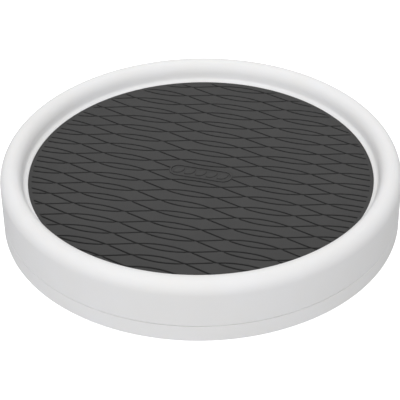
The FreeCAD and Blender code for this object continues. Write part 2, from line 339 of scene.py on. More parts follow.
def scuff_group(name):
    """Faint, short handling scuffs that lie in two directions."""
    group, start, end = new_group(name, [("Scale", 90.0), ("Amount", 0.5)], ["Mask"])
    place = group.nodes.new("ShaderNodeTexCoord").outputs["Object"]
    masks = []
    for turn, stretch in ((0.6, 14.0), (2.3, 11.0)):
        turned = add_node(group, "ShaderNodeMapping", {"Vector": place, "Rotation": (0, 0, turn)})
        squeezed = add_node(
            group, "ShaderNodeMapping",
            {"Vector": turned.outputs["Vector"], "Scale": (1, stretch, stretch)})
        streak = noise(group, squeezed.outputs["Vector"], start.outputs["Scale"], 1.0)
        masks.append(remapped(group, streak, 0.66, 0.74, 0.0, 1.0))
    both = maths(group, "MAXIMUM", *masks)
    patch = remapped(group, noise(group, place, 22.0), 0.45, 0.65, 0.0, 1.0)
    worn = maths(group, "MULTIPLY", both, patch)
    group.links.new(maths(group, "MULTIPLY", worn, start.outputs["Amount"]), end.inputs["Mask"])
    return group


def dust_group(name):
    """Thin dust that lies on faces which look up."""
    group, start, end = new_group(name, [("Amount", 0.1)], ["Mask"])
    normal = group.nodes.new("ShaderNodeNewGeometry").outputs["Normal"]
    up = add_node(group, "ShaderNodeSeparateXYZ", {"Vector": normal}).outputs["Z"]
    place = group.nodes.new("ShaderNodeTexCoord").outputs["Object"]
    level = remapped(group, up, 0.6, 1.0, 0.0, 1.0)
    cloud = remapped(group, noise(group, place, 60.0, 4.0), 0.35, 0.75, 0.2, 1.0)
    lying = maths(group, "MULTIPLY", level, cloud)
    group.links.new(maths(group, "MULTIPLY", lying, start.outputs["Amount"]), end.inputs["Mask"])
    return group


EFFECTS = {"moulded_grain": grain_group, "scuffs": scuff_group, "settled_dust": dust_group}


def effect(tree, name, **values):
    """The outputs of a shared effect, placed with its own values. Its group is built once."""
    node = tree.nodes.new("ShaderNodeGroup")
    node.node_tree = bpy.data.node_groups.get(name) or EFFECTS[name](name)
    for label, value in values.items():
        node.inputs[label.replace("_", " ")].default_value = value
    return node.outputs


def new_material(name, **values):
    """A material and its Principled shader, with plain values on the shader's own sockets."""
    material = bpy.data.materials.new(name)
    material.use_nodes = True
    shader = material.node_tree.nodes["Principled BSDF"]
    for label, value in values.items():
        shader.inputs[label.replace("_", " ")].default_value = value
    return material, material.node_tree, shader


class Finish:
    """A material as it is put together, around a moulded grain of that scale and drift of tone."""

    def __init__(self, name, grain, tone, **values):
        self.material, self.tree, self.shader = new_material(name, **values)
        self.grain = effect(self.tree, "moulded_grain", Scale=grain, Tone_Scale=tone)

    def mask(self, name, **values):
        """Where a shared effect lies."""
        return effect(self.tree, name, **values)["Mask"]

    def paint(self, colour, tint, *covers):
        """A colour that drifts to a tinted one, under covers that are each a mask and a colour."""
        tinted = [channel * part for channel, part in zip(colour, tint)]
        shade = blended(self.tree, self.grain["Tone"], opaque(colour), opaque(tinted))
        for mask, cover in covers:
            shade = blended(self.tree, mask, shade, opaque(cover))
        self.tree.links.new(shade, self.shader.inputs["Base Color"])

    def roughen(self, low, high, mask=None, change=0.0):
        """A roughness that drifts with the tone, and changes where the mask lies."""
        rough = remapped(self.tree, self.grain["Tone"], 0, 1, low, high)
        if mask is not None:
            rough = maths(self.tree, "ADD", rough, maths(self.tree, "MULTIPLY", mask, change))
        self.tree.links.new(rough, self.shader.inputs["Roughness"])

    def raise_grain(self, height):
        """The grain as a bump of that height."""
        node = add_node(
            self.tree, "ShaderNodeBump",
            {"Height": self.grain["Height"], "Distance": height, "Strength": 1.0})
        self.tree.links.new(node.outputs["Normal"], self.shader.inputs["Normal"])


def once(make):
    """The finish that a function makes, made the first time that it is asked for."""
    name = make.__name__ + "_finish"
    return bpy.data.materials.get(name) or make(name, bpy.context.scene.turntable_finishes)


def white_plastic(name, settings):
    """Glossy white moulded plastic with a fine grain, faint scuffs and a little dust."""
    finish = Finish(
        name, grain=3200.0, tone=26.0, IOR=1.49, Specular_IOR_Level=0.3, Subsurface_Weight=0.12,
        Subsurface_Radius=(0.004, 0.0035, 0.003), Subsurface_Scale=1.0)
    scuffs = finish.mask("scuffs", Scale=120.0, Amount=0.5)
    dust = finish.mask("settled_dust", Amount=0.05)
    finish.paint(settings.plastic, (0.985, 0.98, 0.965), (dust, (0.62, 0.60, 0.57)))
    rough = settings.plastic_roughness
    finish.roughen(rough - 0.03, rough + 0.04, scuffs, 0.25)
    finish.raise_grain(0.00001)
    return finish.material


def mat_rubber(name, settings):
    """Matt dark rubber with a fine grain and dust, and painted shade that darkens its grooves and the
    foot of its emblem.
    """
    finish = Finish(name, grain=2600.0, tone=45.0, IOR=1.5, Specular_IOR_Level=0.12)
    scuffs = finish.mask("scuffs", Scale=80.0, Amount=0.6)
    dust = finish.mask("settled_dust", Amount=0.012)
    # painted shade from the groove attribute, dark in the grooves and at the emblem's foot
    depth = add_node(finish.tree, "ShaderNodeAttribute", attribute_name="groove").outputs["Fac"]
    finish.paint(
        settings.mat, (1.06, 1.06, 1.06), (depth, settings.groove_painted_shade), (dust, (0.5, 0.49, 0.47)))
    rough = settings.mat_roughness
    finish.roughen(rough - 0.03, rough + 0.05, scuffs, -0.08)
    finish.raise_grain(0.00004)
    return finish.material


def foot_rubber(name, settings):
    """Matt grey rubber of the feet, with scuffs from sliding on a shelf."""
    finish = Finish(name, grain=2200.0, tone=160.0, IOR=1.5, Specular_IOR_Level=0.35)
    scuffs = finish.mask("scuffs", Scale=160.0, Amount=0.7)
    finish.paint(settings.foot, (0.88, 0.88, 0.88), (scuffs, (0.42, 0.41, 0.39)))
    finish.roughen(0.66, 0.78)
    finish.raise_grain(0.00004)
    return finish.material


def cage_plastic(name, settings):
    """Waxy unfilled plastic, a little see-through, as ball cages are moulded in."""
    finish = Finish(
        name, grain=1800.0, tone=70.0, IOR=1.5, Subsurface_Weight=0.3,
        Subsurface_Radius=(0.002, 0.0016, 0.0012), Subsurface_Scale=1.0)
    finish.paint(settings.cage, (0.97, 0.94, 0.88))
    finish.roughen(0.40, 0.50)
    finish.raise_grain(0.00002)
    return finish.material


def ball_steel(name, settings):
    """Polished bearing steel with hair-fine running marks."""
    finish = Finish(name, grain=1500.0, tone=200.0, Metallic=1.0)
    finish.paint(settings.ball, (0.9, 0.9, 0.9))
    finish.roughen(0.10, 0.10, finish.mask("scuffs", Scale=500.0, Amount=1.0), 0.12)
    return finish.material


def zinc_steel(name, settings):
    """Zinc plated steel, slightly blue and yellow by turns, with scuffs down to brighter metal."""
    finish = Finish(name, grain=1800.0, tone=240.0, Metallic=1.0)
    scuffs = finish.mask("scuffs", Scale=300.0, Amount=1.0)
    finish.paint(settings.zinc, (1.06, 1.0, 0.86), (scuffs, (0.75, 0.75, 0.76)))
    finish.roughen(0.28, 0.42)
    finish.raise_grain(0.00001)
    return finish.material


# ---------------------------------------------------------------- mesh building


def bow(centre, wide, tall, first, last, steps):
    """Corners along an oval arc between two angles in degrees: 0 looks outward, 90 up."""
    corners = []
    for step in range(steps + 1):
        turn = math.radians(first + (last - first) * step / steps)
        corners.append(
            (centre[0] + wide * math.cos(turn), centre[1] + tall * math.sin(turn), 0))
    return corners


def alike(rounding, *corners):
    """Corners that share one rounding."""
    return [(*corner, rounding) for corner in corners]


def rounded(corners, steps=3):
    """A closed outline from corners of radius, level and rounding, with an arc at each corner."""
    most = 0.45             # share of a side that the arc at one of its ends may take
    points = []
    for index, (radius, level, rounding) in enumerate(corners):
        here = Vector((radius, level))
        if rounding == 0:
            points.append(here)
            continue
        back = Vector(corners[index - 1][:2]) - here
        ahead = Vector(corners[(index + 1) % len(corners)][:2]) - here
        half = back.angle(ahead) / 2
        reach = min(rounding / math.tan(half), most * min(back.length, ahead.length))
        start, end = back.normalized() * reach, ahead.normalized() * reach
        size = reach * math.tan(half)
        centre = (start + end).normalized() * (size / math.sin(half))
        for step in range(steps + 1):
            spoke = (start - centre).lerp(end - centre, step / steps)
            points.append(here + centre + spoke.normalized() * size)
    return points


def lathe(outline, steps):
    """A closed skin turned about the spin axis, from an outline that is closed or ends on the axis."""
    skin = bmesh.new()
    row = [skin.verts.new((point.x, 0, point.y)) for point in outline]
    pairs = zip(row, row[1:] + row[:1])
    edges = [skin.edges.new(pair) for pair in pairs if max(end.co.x for end in pair) > MERGE]
    bmesh.ops.spin(
        skin, geom=row + edges, cent=ORIGIN, axis=UP, angle=math.tau, steps=steps, use_merge=True)
    bmesh.ops.remove_doubles(skin, verts=skin.verts, dist=MERGE)
    bmesh.ops.recalc_face_normals(skin, faces=skin.faces)
    return skin


def flat_ring(inner, outer, low, high, chamfer, steps):
    """A flat ring with chamfered edges."""
    corners = alike(chamfer, (inner, low), (outer, low), (outer, high), (inner, high))
    return lathe(rounded(corners, steps=2), steps)


def of_kind(parts, kind):
    """The vertices, edges or faces among what an operator made."""
    return [part for part in parts if isinstance(part, kind)]


def turn_about_axis(skin, verts, degrees):
    """Turns those vertices about the spin axis."""
    bmesh.ops.rotate(
        skin, verts=verts, cent=ORIGIN, matrix=Matrix.Rotation(math.radians(degrees), 3, "Z"))


def add_box(skin, low, high, degrees=0.0):
    """A box between two corners, turned about the spin axis."""
    low, high = Vector(low), Vector(high)
    size = Matrix.Diagonal(high - low).to_4x4()
    made = bmesh.ops.create_cube(skin, size=1, matrix=Matrix.Translation((low + high) / 2) @ size)
    turn_about_axis(skin, made["verts"], degrees)


def add_plate(skin, outline, width, degrees):
    """A flat plate of that width, standing along a radius, from its outline."""
    row = [skin.verts.new((point[0], -width / 2, point[1])) for point in outline]
    face = skin.faces.new(row)
    grown = bmesh.ops.extrude_face_region(skin, geom=[face], use_keep_orig=True)["geom"]
    far = of_kind(grown, bmesh.types.BMVert)
    bmesh.ops.translate(skin, verts=far, vec=(0, width, 0))
    turn_about_axis(skin, row + far, degrees)


def add_drum(skin, radius, low, high, centre, segments=64):
    """An upright closed cylinder."""
    middle = Matrix.Translation((centre[0], centre[1], (low + high) / 2))
    bmesh.ops.create_cone(
        skin, cap_ends=True, segments=segments, radius1=radius, radius2=radius, depth=high - low,
        matrix=middle)


def evenly(count, start=0.0):
    """Angles in degrees at even steps of a full turn."""
    return [start + 360.0 * index / count for index in range(count)]


def joined(skin, other, operation):
    """One closed skin made of two, by UNION or DIFFERENCE. Both are used up."""
    bmesh.ops.recalc_face_normals(other, faces=other.faces)
    blanks = []
    for part in (skin, other):
        data = bpy.data.meshes.new("blank")
        part.to_mesh(data)
        part.free()
        blanks.append(bpy.data.objects.new("blank", data))
        bpy.context.scene.collection.objects.link(blanks[-1])
    cut = blanks[0].modifiers.new("cut", "BOOLEAN")
    cut.object = blanks[1]
    cut.operation = operation
    cut.solver = "EXACT"
    depsgraph = bpy.context.evaluated_depsgraph_get()
    result = bmesh.new()
    result.from_object(blanks[0], depsgraph)
    for blank in blanks:
        data = blank.data
        bpy.data.objects.remove(blank)
        bpy.data.meshes.remove(data)
    bmesh.ops.remove_doubles(result, verts=result.verts, dist=MERGE)
    return result


def shown(name, skin, material):
    """An object with smooth shading except at hard creases, from a skin that it uses up."""
    for face in skin.faces:
        face.smooth = True
    for edge in skin.edges:
        edge.smooth = edge.calc_face_angle(0) < SHARP
    data = bpy.data.meshes.new(name)
    skin.to_mesh(data)
    skin.free()
    data.materials.append(material)
    piece = bpy.data.objects.new(name, data)
    bpy.context.scene.collection.objects.link(piece)
    even = piece.modifiers.new("even_shading", "WEIGHTED_NORMAL")
    even.keep_sharp = True
    return piece


def fade_in(value, low, high):
    """0 below low, 1 above high, and smooth between."""
    share_of_way = min(max((value - low) / (high - low), 0), 1)
    return share_of_way * share_of_way * (3 - 2 * share_of_way)


# ---------------------------------------------------------------- tray


def floor_underside():
    """Level of the underside of the tray's floor."""
    return FLOOR_TOP - bpy.context.scene.turntable_shell.tray_floor


def crown_corners(shell, inset, first, last, steps=20):
    """Corners along the rolled rim, inset from its outside, from one angle to another."""
    centre = (OUTER_RADIUS - shell.rim_half_width, RIM_TOP - shell.crown_height)
    return bow(
        centre, shell.rim_half_width - inset, shell.crown_height - inset, first, last, steps)


def flank_corners(shell):
    """Corners from the flat lip up the hollow fillet and the straight flank, to the crown."""
    slope = shell.flank_angle
    top = Vector(crown_corners(shell, 0, 180 - math.degrees(slope), 0, steps=1)[0][:2])
    down = Vector(
        (-shell.rim_half_width * math.sin(slope), -shell.crown_height * math.cos(slope))).normalized()
    inward = Vector((down.y, -down.x))
    bottom_level = MAT_TOP + shell.flank_fillet * (1 - inward.y)
    bottom = top + down * ((top.y - bottom_level) / -down.y)
    centre = bottom + inward * shell.flank_fillet
    end = math.degrees(math.atan2(bottom.y - centre.y, bottom.x - centre.x))
    return bow(centre, shell.flank_fillet, shell.flank_fillet, -90, end, steps=8)


def race_edges(shell):
    """Inner and outer radius of both race rings."""
    return RACE_RADIUS - shell.race_width / 2, RACE_RADIUS + shell.race_width / 2


def race_corners(shell, side, steps=14):
    """Corners of a race's two lands and the ball groove between them; side is 1 above, -1 below."""
    land = BALL_LEVEL + side * shell.land_offset
    groove = BALL_RADIUS + shell.race_gap
    lean = math.degrees(math.asin(shell.land_offset / groove))
    inner, outer = race_edges(shell)
    arc = bow((RACE_RADIUS, BALL_LEVEL), groove, groove, side * lean, side * (180 - lean), steps)
    return [(outer, land, shell.corner_round)] + arc + [(inner, land, shell.corner_round)]


def channel_corners(shell, mouth, roof):
    """Corners of the cored channel behind a race, which is open at its mouth."""
    inner, outer = race_edges(shell)
    inner += shell.race_side_wall
    outer -= shell.race_side_wall
    return alike(shell.corner_round, (inner, mouth), (inner, roof), (outer, roof), (outer, mouth))


def rib_rings(shell, hub, wall, low, high):
    """Two rings of ribs, one from the hub to the race and one from the race to the outer wall."""
    skin = bmesh.new()
    inner, outer = race_edges(shell)
    half = shell.rib_width / 2
    for degrees in evenly(shell.rib_count):
        for start, end in ((hub, inner), (outer, wall)):
            add_box(
                skin, (start - shell.sunk, -half, low), (end + shell.sunk, half, high), degrees)
    return skin


class TURNTABLE_OT_tray(bpy.types.Operator):
    """Make the turning tray: floor, rolled rim, skirt, upper race, ribs, gussets and spigot"""

    bl_idname = "turntable.tray"
    bl_label = "Tray"

    def execute(self, context):
        shell = context.scene.turntable_shell
        pivot = context.scene.turntable_pivot
        skin = lathe(rounded(self.outline(shell, pivot)), shell.steps)
        tray = shown(
            "tray_shell", joined(skin, self.ribs(shell, pivot), "UNION"),
            once(white_plastic))
        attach(tray, "tray")
        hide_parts("tray")
        return {"FINISHED"}

    def outline(self, shell, pivot):
        """The tray's section, from the middle of its floor outward and back underneath."""
        small = shell.corner_round
        under = floor_underside()
        slope = math.degrees(shell.flank_angle)
        fillet = flank_corners(shell)
        lip = fillet[0][0]
        recess = lip - shell.land_width
        inside = OUTER_RADIUS - shell.tray_wall
        race_inner, race_outer = race_edges(shell)
        under_flank = fillet[-1][0] + shell.tray_wall
        land = BALL_LEVEL + shell.land_offset
        spigot_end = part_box("tray")[0].z
        core_outer = pivot.spigot_radius - pivot.spigot_wall
        core_inner = pivot.screw_radius + pivot.screw_boss_wall
        core_top = under - pivot.core_roof
        hole = pivot.screw_radius + pivot.screw_hole_gap
        hole_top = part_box("pivot_screw")[1].z + pivot.screw_hole_gap
        corners = [(0, FLOOR_TOP, 0)]
        corners += channel_corners(shell, FLOOR_TOP, land + shell.race_deck)
        corners += [(recess, FLOOR_TOP, 0), (recess, MAT_TOP, shell.land_width / 4)]
        corners += fillet
        corners += crown_corners(shell, 0, 180 - slope, 0, steps=28)
        corners += [
            (OUTER_RADIUS, SKIRT_BOTTOM, shell.seam_round), (inside, SKIRT_BOTTOM, small)]
        corners += crown_corners(shell, shell.tray_wall, 0, 180 - slope)
        corners += alike(small, (under_flank, under), (race_outer, under))
        corners += race_corners(shell, 1)
        corners += alike(
            small, (race_inner, under), (pivot.spigot_radius, under),
            (pivot.spigot_radius, spigot_end), (core_outer, spigot_end), (core_outer, core_top),
            (core_inner, core_top), (core_inner, spigot_end), (hole, spigot_end))
        return corners + [(hole, hole_top, 0), (0, hole_top, 0)]

    def ribs(self, shell, pivot):
        """Both rings of ribs under the floor, and the gussets that stiffen the rim."""
        under = floor_underside()
        under_flank = flank_corners(shell)[-1][0] + shell.tray_wall
        skin = rib_rings(
            shell, pivot.spigot_radius, under_flank, under - shell.tray_rib_depth,
            under + shell.sunk)
        middle = shell.tray_wall / 2
        slope = math.degrees(shell.flank_angle)
        gusset = crown_corners(shell, middle, 180 - slope, 0) + [
            (OUTER_RADIUS - middle, under - shell.gusset_drop),
            (under_flank - shell.sunk, under - shell.gusset_drop),
            (under_flank - middle, under + middle),
        ]
        for degrees in evenly(shell.gusset_count, 180.0 / shell.gusset_count):
            add_plate(skin, gusset, shell.gusset_width, degrees)
        return skin


# ---------------------------------------------------------------- base


class TURNTABLE_OT_base(bpy.types.Operator):
    """Make the fixed base pan: visible band, hidden upstand, lower race, ribs, boss and foot seats"""

    bl_idname = "turntable.base"
    bl_label = "Base"

    def execute(self, context):
        shell = context.scene.turntable_shell
        pivot = context.scene.turntable_pivot
        skin = lathe(rounded(self.outline(shell, pivot)), shell.steps)
        skin = joined(skin, self.ribs(shell, pivot), "UNION")
        skin = joined(skin, self.foot_seats(shell), "DIFFERENCE")
        base = shown("base_pan", skin, once(white_plastic))
        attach(base, "base")
        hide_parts("base")
        return {"FINISHED"}

    def outline(self, shell, pivot):
        """The base's section, from the boss's recess outward underneath and back over the top."""
        small = shell.corner_round
        under = BAND_BOTTOM + shell.base_floor_lift
        floor = under + shell.base_floor
        bore = pivot.spigot_radius + pivot.pivot_gap
        boss = bore + pivot.boss_wall
        boss_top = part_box("base")[1].z
        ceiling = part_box("pivot_washer")[1].z + pivot.washer_gap
        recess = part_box("pivot_washer")[1].x + pivot.recess_gap
        upstand_outer = OUTER_RADIUS - shell.base_wall - shell.groove_width
        upstand_inner = upstand_outer - shell.upstand_wall
        upstand_top = BAND_TOP + shell.upstand_rise
        band_inner = OUTER_RADIUS - shell.base_wall
        shelf_under = BAND_TOP - shell.shelf
        land = BALL_LEVEL - shell.land_offset
        race_inner, race_outer = race_edges(shell)
        step = recess + shell.base_wall
        step_top = ceiling + shell.base_wall
        corners = alike(small, (bore, ceiling), (recess, ceiling), (recess, under))
        corners += channel_corners(shell, under, land - shell.race_deck)
        corners += alike(
            small, (upstand_outer, under), (upstand_outer, shelf_under),
            (band_inner, shelf_under), (band_inner, BAND_BOTTOM))
        corners += [
            (OUTER_RADIUS, BAND_BOTTOM, shell.base_edge_round),
            (OUTER_RADIUS, BAND_TOP, shell.seam_round),
        ]
        corners += alike(
            small, (upstand_outer, BAND_TOP), (upstand_outer, upstand_top),
            (upstand_inner, upstand_top), (upstand_inner, floor), (race_outer, floor))
        corners += race_corners(shell, -1)
        return corners + alike(
            small, (race_inner, floor), (step, floor), (step, step_top), (boss, step_top),
            (boss, boss_top), (bore, boss_top))

    def ribs(self, shell, pivot):
        """Both rings of ribs on the floor, and the bosses over the feet."""
        floor = BAND_BOTTOM + shell.base_floor_lift + shell.base_floor
        low = floor - shell.sunk
        boss = pivot.spigot_radius + pivot.pivot_gap + pivot.boss_wall
        upstand = OUTER_RADIUS - shell.base_wall - shell.groove_width - shell.upstand_wall
        skin = rib_rings(shell, boss, upstand, low, floor + shell.base_rib_height)
        self.add_foot_drums(skin, shell.foot_boss_wall, low, floor + shell.foot_boss_height)
        return skin

    def foot_seats(self, shell):
        """The cutters of the round seats that hold the feet, which are all of one height."""
        skin = bmesh.new()
        low_corner, high_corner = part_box(FEET[0])
        self.add_foot_drums(skin, shell.foot_fit, low_corner.z, high_corner.z, segments=96)
        return skin

    def add_foot_drums(self, skin, wall, low, high, segments=64):
        """A drum over each foot, wider than it by the wall all round."""
        for foot in FEET:
            low_corner, high_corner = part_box(foot)
            centre = (low_corner + high_corner) / 2
            radius = (high_corner.x - low_corner.x) / 2 + wall
            add_drum(skin, radius, low, high, centre, segments)


# ---------------------------------------------------------------- mat


GROOVE_STEPS = (0.0, 0.45, 0.75, 1.0)   # places of a groove's rows, in half widths of the groove
GROOVE_FLAT = 0.4           # share of a groove's half width that is flat at its bottom
MAT_MERGE = 2e-6            # points of the mat's top closer than this are one
LEAF_NUMBERS = range(-2, 3)     # places of the emblem's leaves along it
LEAF_SPREAD = 0.98          # share of the emblem's straight length that the leaves take
LEAF_WIDTH = 0.6            # width of a leaf as a share of its length, before it is pointed
LEAF_POINT = 0.35           # how fast a leaf narrows to its ends
LEAF_SHADE = (0.1, 0.6)     # shares of a leaf's height between which the painted shade at its foot fades out


def pill_distance(across, along, half_length, radius):
    """Distance outside a pill shape, or minus the distance inside it."""
    straight = max(abs(across) - (half_length - radius), 0)
    return math.hypot(straight, along) - radius


class TURNTABLE_OT_mat(bpy.types.Operator):
    """Make the rubber mat, with its two families of wavy grooves, plain border and raised emblem"""

    bl_idname = "turntable.mat"
    bl_label = "Mat"

    def execute(self, context):
        sizes = context.scene.turntable_mat
        skin = self.grooved_top(sizes)
        self.close_sides(skin, sizes)
        mat = shown("rubber_mat", skin, once(mat_rubber))
        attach(mat, "tray")
        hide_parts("mat")
        emblem = shown("mat_emblem", self.emblem(sizes), once(mat_rubber))
        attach(emblem, "tray")
        return {"FINISHED"}

    def groove_middles(self, sizes, along):
        """Places of the grooves of both families across the mat, lowest first."""
        swing = sizes.swing * math.cos(math.tau * along / sizes.wavelength)
        reach = math.ceil(MAT_RADIUS / sizes.pitch) + 1
        middles = []
        for number in range(-reach, reach + 1):
            first = (sizes.offset + number) * sizes.pitch
            middles += [first + swing, first + sizes.pitch / 2 - swing]
        return sorted(middles)

    def row_places(self, sizes, along):
        """Each row's place across the mat, and its share of the groove's depth."""
        middles = self.groove_middles(sizes, along)
        half = sizes.groove_width / 2
        gaps = [high - low for low, high in zip(middles, middles[1:])]
        full = [fade_in(gap, sizes.stop_start, sizes.stop_end) for gap in gaps] + [1.0]
        rows = []
        for number, gap in enumerate(gaps):
            steps = [min(step * half, gap * index / 8) for index, step in enumerate(GROOVE_STEPS)]
            places = steps + [gap / 2] + [gap - step for step in reversed(steps[1:])]
            for place in places:
                near = self.groove_share(place / half) * full[number]
                far = self.groove_share((gap - place) / half) * full[number + 1]
                rows.append((middles[number] + place, max(near, far)))
        return rows

    def groove_share(self, offset):
        """Depth of a groove at an offset from its middle, as a share of its full depth."""
        return 1 - fade_in(offset, GROOVE_FLAT, 1.0)

    def grooved_top(self, sizes):
        """The mat's top face: a grid whose rows follow the grooves, drawn in to a circle."""
        radius = MAT_RADIUS - sizes.edge_round
        rows_at = [
            self.row_places(sizes, radius * math.sin(math.pi * (column / sizes.columns - 0.5)))
            for column in range(sizes.columns + 1)
        ]
        inside = [
            number for number in range(len(rows_at[0]))
            if any(abs(rows[number][0]) < radius for rows in rows_at)
        ]
        first, last = inside[0] - 1, inside[-1] + 1
        skin = bmesh.new()
        bmesh.ops.create_grid(
            skin, x_segments=sizes.columns, y_segments=last - first, size=1)
        groove = skin.verts.layers.float.new("groove")
        for vertex in skin.verts:
            column = round((vertex.co.x + 1) / 2 * sizes.columns)
            number = first + round((vertex.co.y + 1) / 2 * (last - first))
            turn = math.pi * (column / sizes.columns - 0.5)
            along, limit = radius * math.sin(turn), radius * abs(math.cos(turn))
            across, share_of_depth = rows_at[column][number]
            across = min(max(across, -limit), limit)
            reach = math.hypot(along, across)
            share_of_depth *= 1 - fade_in(
                reach, MAT_RADIUS - sizes.border - sizes.fade, MAT_RADIUS - sizes.border)
            outside = pill_distance(
                along, across, sizes.emblem_length / 2, sizes.emblem_width / 2)
            share_of_depth *= fade_in(outside, sizes.fade, 2 * sizes.fade)
            # painted shade, as deep as the groove at this point
            vertex[groove] = share_of_depth
            vertex.co = (along, across, MAT_TOP - sizes.groove_depth * share_of_depth)
        bmesh.ops.remove_doubles(skin, verts=skin.verts, dist=MAT_MERGE)
        return skin

    def close_sides(self, skin, sizes):
        """Rounds the top edge over, drops the side and closes the underside."""
        skin.normal_update()
        rim = [edge for edge in skin.edges if edge.is_boundary]
        steps = 4
        turns = [math.pi / 2 * step / steps for step in range(1, steps + 1)]
        path = [
            (MAT_RADIUS - sizes.edge_round * (1 - math.sin(turn)),
             MAT_TOP - sizes.edge_round * (1 - math.cos(turn)))
            for turn in turns
        ]
        path += [(MAT_RADIUS, FLOOR_TOP + sizes.edge_round), (MAT_RADIUS - sizes.edge_round, FLOOR_TOP)]
        for radius, level in path:
            grown = bmesh.ops.extrude_edge_only(skin, edges=rim)["geom"]
            rim = of_kind(grown, bmesh.types.BMEdge)
            for vertex in {end for edge in rim for end in edge.verts}:
                stretch = radius / math.hypot(vertex.co.x, vertex.co.y)
                vertex.co = (vertex.co.x * stretch, vertex.co.y * stretch, level)
        bmesh.ops.edgeloop_fill(skin, edges=rim)
        bmesh.ops.recalc_face_normals(skin, faces=skin.faces)

    def emblem(self, sizes):
        """A raised pill rim with five small leaves in it, let into the top of the mat."""
        skin = bmesh.new()
        groove = skin.verts.layers.float.new("groove")
        half = sizes.emblem_length / 2
        radius = sizes.emblem_width / 2
        foot = MAT_TOP - sizes.emblem_sunk
        made = bmesh.ops.create_circle(
            skin, cap_ends=True, segments=64, radius=radius,
            matrix=Matrix.Translation((0, 0, foot)))["verts"]
        pill = made[0].link_faces[0]
        for vertex in made:
            vertex.co.x += math.copysign(half - radius, vertex.co.x)
        ring = bmesh.ops.inset_region(
            skin, faces=[pill], thickness=sizes.emblem_rim, use_even_offset=True,
            use_boundary=True)["faces"]
        bmesh.ops.delete(skin, geom=[pill], context="FACES_ONLY")
        # painted shade: dark at the foot of the rim, none on its raised top
        for vertex in {corner for face in ring for corner in face.verts}:
            vertex[groove] = 1.0
        grown = bmesh.ops.extrude_face_region(skin, geom=ring, use_keep_orig=True)["geom"]
        tops = of_kind(grown, bmesh.types.BMFace)
        raised = of_kind(grown, bmesh.types.BMVert)
        bmesh.ops.translate(skin, verts=raised, vec=(0, 0, sizes.emblem_rise + sizes.emblem_sunk))
        for vertex in raised:
            vertex[groove] = 0.0
        borders = [
            edge for edge in {edge for face in tops for edge in face.edges}
            if sum(face in tops for face in edge.link_faces) == 1
        ]
        shell = set(ring) | {face for edge in borders for face in edge.link_faces} | set(tops)
        bmesh.ops.recalc_face_normals(skin, faces=list(shell))
        bmesh.ops.bevel(
            skin, geom=borders, offset=sizes.emblem_rim / 4, affect="EDGES", segments=3,
            profile=0.5, material=-1)
        straight = sizes.emblem_length - sizes.emblem_width
        spacing = straight * LEAF_SPREAD / (len(LEAF_NUMBERS) - 1)
        slant = Matrix.Rotation(sizes.leaf_turn, 4, "Z")
        for number in LEAF_NUMBERS:
            leaf = bmesh.ops.create_uvsphere(skin, u_segments=40, v_segments=20, radius=1)["verts"]
            for vertex in leaf:
                # painted shade at the foot of each leaf, fading out up its height
                vertex[groove] = 1 - fade_in(vertex.co.z, *LEAF_SHADE)
                vertex.co.y *= LEAF_WIDTH * (1 - min(vertex.co.x ** 2, 1)) ** LEAF_POINT
                vertex.co = vertex.co * sizes.leaf_reach
                vertex.co.z *= sizes.emblem_rise / sizes.leaf_reach
            place = Matrix.Translation((number * spacing, 0, MAT_TOP))
            bmesh.ops.transform(skin, matrix=place @ slant, verts=leaf)
        return skin


# ---------------------------------------------------------------- bearing


class TURNTABLE_OT_balls(bpy.types.Operator):
    """Make the steel balls of the race"""

    bl_idname = "turntable.balls"
    bl_label = "Balls"

    def execute(self, context):
        for node in BALLS:
            low_corner, high_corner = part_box(node)
            skin = bmesh.new()
            bmesh.ops.create_icosphere(
                skin, subdivisions=5, radius=BALL_RADIUS,
                matrix=Matrix.Translation((low_corner + high_corner) / 2))
            ball = shown("race_" + node, skin, once(ball_steel))
            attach(ball, node)
            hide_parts(node)
        return {"FINISHED"}


class TURNTABLE_OT_cage(bpy.types.Operator):
    """Make the ring that spaces the balls, with a pocket for each and slots between them"""

    bl_idname = "turntable.cage"
    bl_label = "Ball cage"

    def execute(self, context):
        sizes = context.scene.turntable_race
        low_corner, high_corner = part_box("ball_cage")
        outer = high_corner.x
        skin = flat_ring(
            2 * RACE_RADIUS - outer, outer, low_corner.z, high_corner.z, sizes.chamfer, steps=256)
        cage = shown(
            "ball_spacer", joined(skin, self.pockets(sizes), "DIFFERENCE"),
            once(cage_plastic))
        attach(cage, "cage")
        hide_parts("ball_cage")
        return {"FINISHED"}

    def pockets(self, sizes):
        """The cutters of the spherical pockets and the oblong slots."""
        skin = bmesh.new()
        centre = Matrix.Translation((RACE_RADIUS, 0, BALL_LEVEL))
        reach = (sizes.slot_length - sizes.slot_width) / 2
        half_step = 180.0 / len(BALLS)
        through = 4 * BALL_RADIUS               # tall enough to cut right through the cage
        for degrees in evenly(len(BALLS)):
            pocket = bmesh.ops.create_uvsphere(
                skin, u_segments=48, v_segments=24, radius=BALL_RADIUS + sizes.pocket_gap,
                matrix=centre)
            turn_about_axis(skin, pocket["verts"], degrees)
            slot = bmesh.ops.create_cone(
                skin, cap_ends=True, segments=40, radius1=sizes.slot_width / 2,
                radius2=sizes.slot_width / 2, depth=through)
            for vertex in slot["verts"]:
                vertex.co.y += math.copysign(reach, vertex.co.y)
            bmesh.ops.transform(skin, matrix=centre, verts=slot["verts"])
            turn_about_axis(skin, slot["verts"], degrees + half_step)
        return skin


# ---------------------------------------------------------------- pivot and feet


